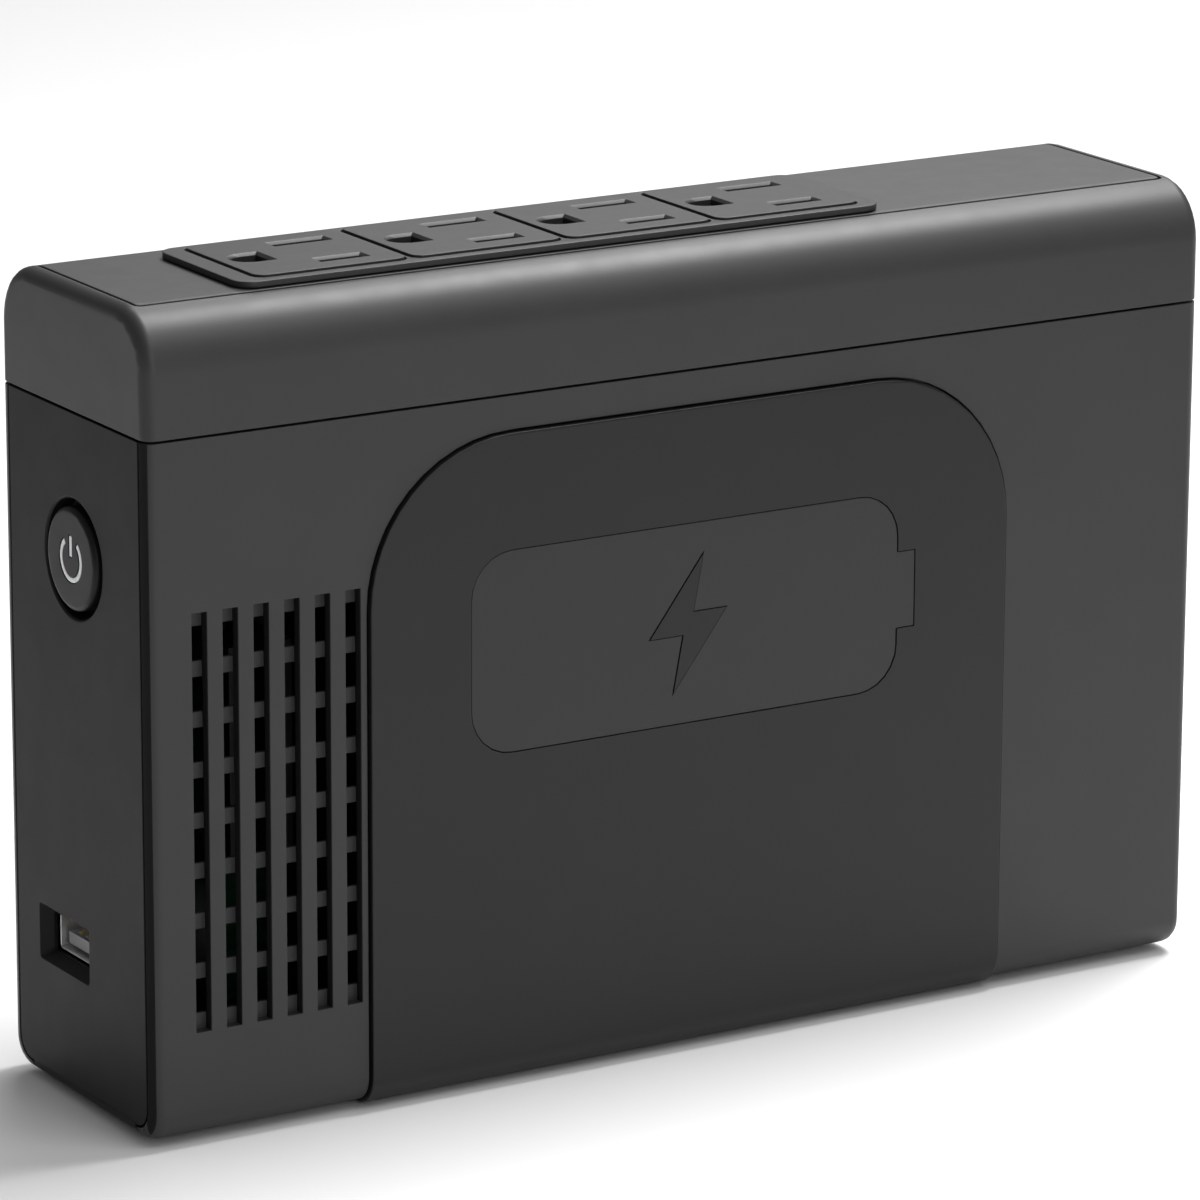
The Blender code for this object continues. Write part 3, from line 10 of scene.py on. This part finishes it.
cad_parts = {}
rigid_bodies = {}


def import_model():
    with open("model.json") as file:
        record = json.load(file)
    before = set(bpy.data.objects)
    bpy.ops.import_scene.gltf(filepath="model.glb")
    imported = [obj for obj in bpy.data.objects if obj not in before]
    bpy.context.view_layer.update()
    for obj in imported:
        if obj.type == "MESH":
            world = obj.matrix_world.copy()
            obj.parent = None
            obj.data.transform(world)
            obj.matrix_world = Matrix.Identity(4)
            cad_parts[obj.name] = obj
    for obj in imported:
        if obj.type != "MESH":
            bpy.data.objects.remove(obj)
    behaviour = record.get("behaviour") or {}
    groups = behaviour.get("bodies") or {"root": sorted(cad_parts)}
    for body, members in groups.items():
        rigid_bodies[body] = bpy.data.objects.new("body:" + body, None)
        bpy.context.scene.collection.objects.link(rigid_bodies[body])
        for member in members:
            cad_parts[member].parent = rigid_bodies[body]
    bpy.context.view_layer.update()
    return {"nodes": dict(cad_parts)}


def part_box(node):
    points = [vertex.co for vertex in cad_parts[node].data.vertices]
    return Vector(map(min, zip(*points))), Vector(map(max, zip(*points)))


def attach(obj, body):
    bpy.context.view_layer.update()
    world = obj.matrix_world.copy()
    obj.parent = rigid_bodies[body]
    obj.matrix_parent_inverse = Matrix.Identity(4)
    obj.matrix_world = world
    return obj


for old in list(bpy.data.objects):
    bpy.data.objects.remove(old)

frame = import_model()
NODES = frame["nodes"]
MM = 0.001

# The middle of a noise texture's values, which every remap starts from.
NOISE_LOW, NOISE_HIGH = 0.3, 0.7

# Moulded plastic: the size of its slow changes, and how strong they are.
DRIFT_SIZE = 14 * MM
GLOSS_SIZE = 5 * MM
GLOSS_CHANGE = 0.018
WAVE_SIZE = 30 * MM
WAVE_HEIGHT = 0.006 * MM
SATIN = {"grain": 0.25 * MM, "depth": 0.003 * MM, "drift": 0.03}
FINE_SPARK = {"grain": 0.3 * MM, "depth": 0.004 * MM}

# The vents' side walls carry painted shade: their depth behind the front face, and how dark the
# painted shade makes them.
VENT_EDGE = 0.25 * MM
VENT_WALL = 2.6 * MM
SIDE_FACING = 0.7
SHADOW_SHARE = 0.08
SHADOW_ROUGHNESS = 0.95

# The wave texture repeats every tau / 20 of its scaled coordinate: a turn every 0.31 mm.
WINDING_SCALE = 1000

# Drawing lines run along a metal piece, so their noise is squeezed across it.
DRAWN_ALONG_X = (1, 6, 6)
DRAWN_ALONG_YZ = (6, 1, 1)

# Rounding of the CAD's sharp edges.
WELD_DISTANCE = 0.0005 * MM
EDGE_ANGLE = math.radians(35)
EDGE_SEGMENTS = 2
EDGE_WIDTH = 0.08 * MM
EDGE_WIDTHS = {
    "main_housing": 0.12 * MM,
    "top_cap": 0.15 * MM,
    "top_panel": 0.15 * MM,
    "left_end_plate": 0.12 * MM,
    "right_end_plate": 0.12 * MM,
    "battery_cover": 0.05 * MM,
    "outlet_frame": 0.12 * MM,
}

# The strips on the USB port's tongue.
TONGUE_TOP = 2.25 * MM
REAR_WALL = 2.0 * MM
CONTACT_SETBACK = 0.6 * MM
CONTACT_RAMP = 0.4 * MM
CONTACT_THICKNESS = 0.12 * MM
CONTACT_HALF = 0.6 * MM
CONTACT_PLACES = [place * MM for place in (-3.5, -1.0, 1.0, 3.5)]

# The camera, with its angles in degrees.
CAMERA_PLACE = (-0.51292, -0.83549, 0.33317)
AZIMUTH, ELEVATION, ROLL = 31.370, 15.253, 0.236
LENS, SENSOR_WIDTH = 198.66, 36.0

# The stage. A softbox is its place, what it points at, its size in metres and its watts.
WORLD_STRENGTH = 0.2
FLOOR_HALF = 4.0
FLOOR_WHITE = (0.9, 0.9, 0.9)
MIDDLE = (0, 0, 0.06)
SOFTBOXES = {
    "softbox_top": ((0.30, 0.03, 0.72), (0, 0, 0.12), (0.3, 0.3), 6.0),
    "softbox_back": ((0.75, 0.75, 1.0), (0.35, 0.35, 0), (1.0, 0.9), 9.0),
    "softbox_front": ((0.3, -0.8, 1.3), MIDDLE, (0.9, 0.9), 6.5),
    "softbox_low": ((-0.1, -1.5, 0.5), MIDDLE, (0.9, 0.9), 5.0),
}


# ---------------------------------------------------------------- materials


class Look:
    """A Principled material with its node tree, in real-scale object coordinates."""

    def __init__(self, name, colour, roughness, metallic=0.0):
        self.material = bpy.data.materials.new(name)
        self.material.use_nodes = True
        self.material.diffuse_color = (*colour, 1.0)
        self.tree = self.material.node_tree
        self.shader = self.tree.nodes["Principled BSDF"]
        self.shader.inputs["Base Color"].default_value = (*colour, 1.0)
        self.shader.inputs["Roughness"].default_value = roughness
        self.shader.inputs["Metallic"].default_value = metallic
        self.colour = colour
        self.roughness = roughness
        self.place = self.node("ShaderNodeTexCoord").outputs["Object"]

    def node(self, kind, **settings):
        made = self.tree.nodes.new(kind)
        for key, value in settings.items():
            setattr(made, key, value)
        return made

    def link(self, source, target):
        self.tree.links.new(source, target)

    def noise(self, size, detail=2.0, stretch=(1, 1, 1)):
        """Noise whose grains are about size metres across."""
        mapping = self.node("ShaderNodeMapping")
        mapping.inputs["Scale"].default_value = stretch
        self.link(self.place, mapping.inputs["Vector"])
        texture = self.node("ShaderNodeTexNoise")
        texture.inputs["Scale"].default_value = 1 / size
        texture.inputs["Detail"].default_value = detail
        self.link(mapping.outputs["Vector"], texture.inputs["Vector"])
        return texture.outputs["Fac"]

    def spread(self, source, low, high):
        """Noise values remapped to run from low to high."""
        remap = self.node("ShaderNodeMapRange")
        remap.inputs["From Min"].default_value = NOISE_LOW
        remap.inputs["From Max"].default_value = NOISE_HIGH
        remap.inputs["To Min"].default_value = low
        remap.inputs["To Max"].default_value = high
        self.link(source, remap.inputs["Value"])
        return remap.outputs["Result"]

    def vary_colour(self, source, share):
        """Lets the base colour drift by a share of itself either way."""
        mix = self.node("ShaderNodeMix", data_type="RGBA")
        mix.inputs["A"].default_value = (*[c * (1 - share) for c in self.colour], 1)
        mix.inputs["B"].default_value = (*[min(c * (1 + share), 1) for c in self.colour], 1)
        self.link(self.spread(source, 0, 1), mix.inputs["Factor"])
        self.link(mix.outputs["Result"], self.shader.inputs["Base Color"])

    def vary_roughness(self, source, amount):
        """Lets the roughness change by an amount either way."""
        changed = self.spread(source, self.roughness - amount, self.roughness + amount)
        self.link(changed, self.shader.inputs["Roughness"])

    def calculate(self, operation, first, second=0.0):
        """One Math node on a socket and a socket or number."""
        node = self.node("ShaderNodeMath", operation=operation)
        self.link(first, node.inputs[0])
        if isinstance(second, float):
            node.inputs[1].default_value = second
        else:
            self.link(second, node.inputs[1])
        return node.outputs["Value"]

    def paint_shade(self, mask, share, roughness):
        """Painted shade: where the mask is 1, the colour drops to a share of itself and turns
        rough.
        """
        shader = self.shader
        for socket, value in (
            ("Base Color", (*[c * share for c in self.colour], 1)),
            ("Roughness", (roughness,) * 3 + (1,)),
        ):
            source = shader.inputs[socket].links[0].from_socket
            mix = self.node("ShaderNodeMix", data_type="RGBA")
            self.link(mask, mix.inputs["Factor"])
            self.link(source, mix.inputs["A"])
            mix.inputs["B"].default_value = value
            self.link(mix.outputs["Result"], shader.inputs[socket])

    def bump(self, *layers):
        """Each layer is (height source, height in metres). They add up to one normal."""
        normal = None
        for source, height in layers:
            bump = self.node("ShaderNodeBump")
            bump.inputs["Strength"].default_value = 1.0
            bump.inputs["Distance"].default_value = height
            self.link(source, bump.inputs["Height"])
            if normal:
                self.link(normal, bump.inputs["Normal"])
            normal = bump.outputs["Normal"]
        self.link(normal, self.shader.inputs["Normal"])


def moulded_look(
    name, colour, roughness, gloss=0.36, grain=0.35 * MM, depth=0.006 * MM, drift=0.05
):
    """Spark-textured moulding: fine grain, slow changes of gloss and a faint colour drift."""
    look = Look(name, colour, roughness)
    look.shader.inputs["Specular IOR Level"].default_value = gloss
    fine = look.noise(grain, detail=3)
    look.vary_colour(look.noise(DRIFT_SIZE, detail=3), drift)
    look.vary_roughness(look.noise(GLOSS_SIZE, detail=3), GLOSS_CHANGE)
    look.bump((fine, depth), (look.noise(WAVE_SIZE, detail=1), WAVE_HEIGHT))
    return look


def moulded(*values, **options):
    return moulded_look(*values, **options).material


def case_look():
    """The housing's texture, with painted shade: the side walls of its vents are painted
    shadow-black.
    """
    look = moulded_look("case_texture_and_painted_shade", (0.027, 0.027, 0.0275), 0.46)
    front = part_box("main_housing")[0][1]
    place = look.node("ShaderNodeSeparateXYZ")
    look.link(look.place, place.inputs["Vector"])
    facing = look.node("ShaderNodeSeparateXYZ")
    look.link(look.node("ShaderNodeNewGeometry").outputs["True Normal"], facing.inputs["Vector"])
    behind = look.calculate("GREATER_THAN", place.outputs["Y"], front + VENT_EDGE)
    before = look.calculate("LESS_THAN", place.outputs["Y"], front + VENT_WALL)
    turned = look.calculate("ABSOLUTE", facing.outputs["X"])
    sideways = look.calculate("GREATER_THAN", turned, SIDE_FACING)
    walls = look.calculate("MULTIPLY", look.calculate("MULTIPLY", behind, before), sideways)
    # Painted shade: the vents' side walls are darkened to near-black in the colour.
    look.paint_shade(walls, SHADOW_SHARE, SHADOW_ROUGHNESS)
    return look.material


def plated(name, colour, roughness, stretch=DRAWN_ALONG_X):
    """Metal with fine drawing lines along one way."""
    look = Look(name, colour, roughness, metallic=1.0)
    lines = look.noise(0.4 * MM, detail=3, stretch=stretch)
    look.vary_colour(look.noise(3 * MM), share=0.08)
    look.vary_roughness(lines, amount=0.06)
    look.bump((lines, 0.002 * MM))
    return look.material


def rubber(name, colour):
    """Dull rubber with a coarse skin."""
    look = Look(name, colour, roughness=0.85)
    look.vary_colour(look.noise(2 * MM, detail=4), share=0.2)
    look.bump((look.noise(0.5 * MM, detail=4), 0.03 * MM))
    return look.material


def board_mask(name):
    """Green solder mask with faint darker runs where copper lies under it."""
    look = Look(name, (0.006, 0.04, 0.018), roughness=0.4)
    runs = look.noise(4 * MM, detail=0, stretch=(1, 0.4, 3))
    look.vary_colour(runs, share=0.4)
    look.bump((runs, 0.03 * MM))
    return look.material


def winding(name):
    """Close turns of enamelled wire."""
    look = Look(name, (0.6, 0.22, 0.08), roughness=0.32, metallic=0.9)
    wave = look.node("ShaderNodeTexWave", bands_direction="X")
    wave.inputs["Scale"].default_value = WINDING_SCALE
    look.link(look.place, wave.inputs["Vector"])
    look.vary_colour(look.noise(1 * MM), share=0.15)
    look.bump((wave.outputs["Fac"], 0.15 * MM))
    return look.material


def light_pipe(name):
    """Milky plastic that carries light."""
    look = Look(name, (0.88, 0.88, 0.88), roughness=0.35)
    look.shader.inputs["Subsurface Weight"].default_value = 0.2
    look.shader.inputs["Subsurface Scale"].default_value = 0.5 * MM
    look.vary_roughness(look.noise(1 * MM), amount=0.05)
    return look.material


def make_looks():
    """The look of each node by its name, of each family by how its names begin, and of the rest.

    A moulded look is its name, colour, roughness and gloss; the rest is its grain.
    """
    # Painted shade: the end plates keep the moulded texture, but their colour is far darker than
    # the case's to stand in for the shade on the end faces.
    end = moulded("end_texture", (0.010, 0.010, 0.0105), 0.5, 0.15)
    outlet = moulded("outlet_satin", (0.0255, 0.0255, 0.026), 0.42, **FINE_SPARK)
    sleeve = moulded("sleeve_black", (0.01, 0.01, 0.01), 0.35)
    inner = moulded("inner_black", (0.006, 0.006, 0.006), 0.6, 0.2)
    brass = plated("brass_strip", (0.78, 0.55, 0.2), 0.28)
    mask = board_mask("board_mask")
    pipe = light_pipe("light_pipe")
    single = {
        "main_housing": case_look(),
        "top_cap": moulded("cap_texture", (0.029, 0.029, 0.0295), 0.44),
        "top_panel": moulded("panel_texture", (0.031, 0.031, 0.0315), 0.5),
        "left_end_plate": end,
        "right_end_plate": end,
        "battery_cover": moulded("cover_satin", (0.011, 0.011, 0.0115), 0.38, 0.3, **SATIN),
        "cover_emblem": moulded("emblem_satin", (0.021, 0.021, 0.0215), 0.42, 0.34, **SATIN),
        "power_button": moulded("button_satin", (0.007, 0.007, 0.0073), 0.42, 0.2, **SATIN),
        "button_light_guide": pipe,
        "status_led": pipe,
        "outlet_frame": outlet,
        "outlet_base": inner,
        "neutral_bar": brass,
        "line_bar": brass,
        "ground_bar": brass,
        "usb_tongue": moulded("port_grey", (0.3, 0.3, 0.31), 0.4),
        "breaker_button": sleeve,
        "battery_pack": moulded("battery_black", (0.02, 0.02, 0.024), 0.45),
        "battery_lead_positive": moulded("lead_red", (0.45, 0.015, 0.012), 0.4),
        "battery_lead_negative": sleeve,
        "main_board": mask,
        "control_board": mask,
        "heat_sink": moulded("black_anodised", (0.015, 0.015, 0.016), 0.4),
        "transformer_core": moulded("ferrite", (0.03, 0.03, 0.032), 0.6),
        "transformer_coil": winding("enamelled_winding"),
    }
    families = {
        "outlet_": outlet,
        "capacitor_": sleeve,
        "transfer_relay_": moulded("relay_blue", (0.02, 0.09, 0.4), 0.35),
        "board_screw_": plated("plated_steel", (0.68, 0.68, 0.7), 0.26),
        "case_screw_": plated("black_zinc", (0.16, 0.16, 0.165), 0.36),
        "usb_shell": plated("satin_nickel", (0.92, 0.92, 0.93), 0.42),
        "foot_": rubber("foot_rubber", (0.018, 0.018, 0.018)),
        "inlet_pin_": brass,
        "battery_terminal_": brass,
    }
    return single, families, inner


def dress():
    """Gives every CAD node its finished material."""
    single, families, rest = make_looks()
    for name, node in NODES.items():
        found = [look for start, look in families.items() if name.startswith(start)]
        chosen = single.get(name) or (found[0] if found else rest)
        node.data.materials.clear()
        node.data.materials.append(chosen)


# ---------------------------------------------------------------- edges


def soften(node, width):
    """Joins a CAD node's split corners, and rounds its sharp edges so that they catch the light."""
    node.data.shade_smooth()
    weld = node.modifiers.new("weld", "WELD")
    weld.merge_threshold = WELD_DISTANCE
    bevel = node.modifiers.new("edge", "BEVEL")
    bevel.width = width
    bevel.segments = EDGE_SEGMENTS
    bevel.limit_method = "ANGLE"
    bevel.angle_limit = EDGE_ANGLE
    bevel.use_clamp_overlap = False
    weight = node.modifiers.new("shading", "WEIGHTED_NORMAL")
    weight.weight = 100


def soften_all():
    for name, node in NODES.items():
        soften(node, EDGE_WIDTHS.get(name, EDGE_WIDTH))


# ---------------------------------------------------------------- small pieces


def strip_profile(front, back, top):
    """(x, z) of a contact strip that dips at its tip, runs level and ends under the back wall."""
    dip = 2 * CONTACT_THICKNESS
    upper = [(front, top - dip), (front + CONTACT_RAMP, top), (back, top)]
    return upper + [(x, z + CONTACT_THICKNESS) for x, z in reversed(upper)]


def strip_mesh(name, profile, middle):
    """The profile drawn out to the strip's width, on both sides of y = middle."""
    builder = bmesh.new()
    sides = [
        [builder.verts.new((x, middle + side, z)) for x, z in profile]
        for side in (-CONTACT_HALF, CONTACT_HALF)
    ]
    builder.faces.new(sides[0])
    builder.faces.new(list(reversed(sides[1])))
    for i in range(len(profile)):
        j = (i + 1) % len(profile)
        builder.faces.new((sides[0][i], sides[1][i], sides[1][j], sides[0][j]))
    bmesh.ops.recalc_face_normals(builder, faces=builder.faces)
    mesh = bpy.data.meshes.new(name)
    builder.to_mesh(mesh)
    builder.free()
    return mesh


def make_usb_contacts(gold):
    """Four gilded strips on top of the port's tongue."""
    low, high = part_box("usb_tongue")
    middle = (low[1] + high[1]) / 2
    profile = strip_profile(low[0] + CONTACT_SETBACK, high[0] - REAR_WALL, low[2] + TONGUE_TOP)
    for number, place in enumerate(CONTACT_PLACES, start=1):
        name = f"usb_contact_{number}"
        mesh = strip_mesh(name, profile, middle + place)
        piece = bpy.data.objects.new(name, mesh)
        bpy.context.scene.collection.objects.link(piece)
        mesh.materials.append(gold)
        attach(piece, "case")


# ---------------------------------------------------------------- camera and light


def aim(obj, target):
    direction = Vector(target) - obj.location
    obj.rotation_euler = direction.to_track_quat("-Z", "Y").to_euler()


def make_camera():
    """The long lens that sees the front, the left end and a little of the top."""
    azimuth, elevation, roll = (math.radians(a) for a in (AZIMUTH, ELEVATION, ROLL))
    data = bpy.data.cameras.new("camera")
    data.lens = LENS
    data.sensor_width = SENSOR_WIDTH
    camera = bpy.data.objects.new("camera", data)
    bpy.context.scene.collection.objects.link(camera)
    camera.location = CAMERA_PLACE
    forward = Vector(
        (
            math.sin(azimuth) * math.cos(elevation),
            math.cos(azimuth) * math.cos(elevation),
            -math.sin(elevation),
        )
    )
    turn = forward.to_track_quat("-Z", "Y").to_matrix() @ Matrix.Rotation(roll, 3, "Z")
    camera.rotation_euler = turn.to_euler()
    bpy.context.scene.camera = camera


def area_light(name, place, target, size, power):
    data = bpy.data.lights.new(name, "AREA")
    data.shape = "RECTANGLE"
    data.size, data.size_y = size
    data.energy = power
    light = bpy.data.objects.new(name, data)
    bpy.context.scene.collection.objects.link(light)
    light.location = place
    aim(light, target)


def make_stage():
    """A white floor in soft white light."""
    world = bpy.data.worlds.new("studio")
    world.use_nodes = True
    sky = world.node_tree.nodes["Background"]
    sky.inputs["Color"].default_value = (1, 1, 1, 1)
    sky.inputs["Strength"].default_value = WORLD_STRENGTH
    bpy.context.scene.world = world
    bpy.context.scene.view_settings.view_transform = "Standard"
    half = FLOOR_HALF
    corners = [(-half, -half, 0), (half, -half, 0), (half, half, 0), (-half, half, 0)]
    mesh = bpy.data.meshes.new("floor")
    mesh.from_pydata(corners, [], [(0, 1, 2, 3)])
    floor = bpy.data.objects.new("floor", mesh)
    bpy.context.scene.collection.objects.link(floor)
    mesh.materials.append(Look("floor_white", FLOOR_WHITE, roughness=0.9).material)
    for name, values in SOFTBOXES.items():
        area_light(name, *values)


dress()
soften_all()
make_usb_contacts(plated("gilded", (0.9, 0.62, 0.22), 0.25, DRAWN_ALONG_YZ))
make_camera()
make_stage()
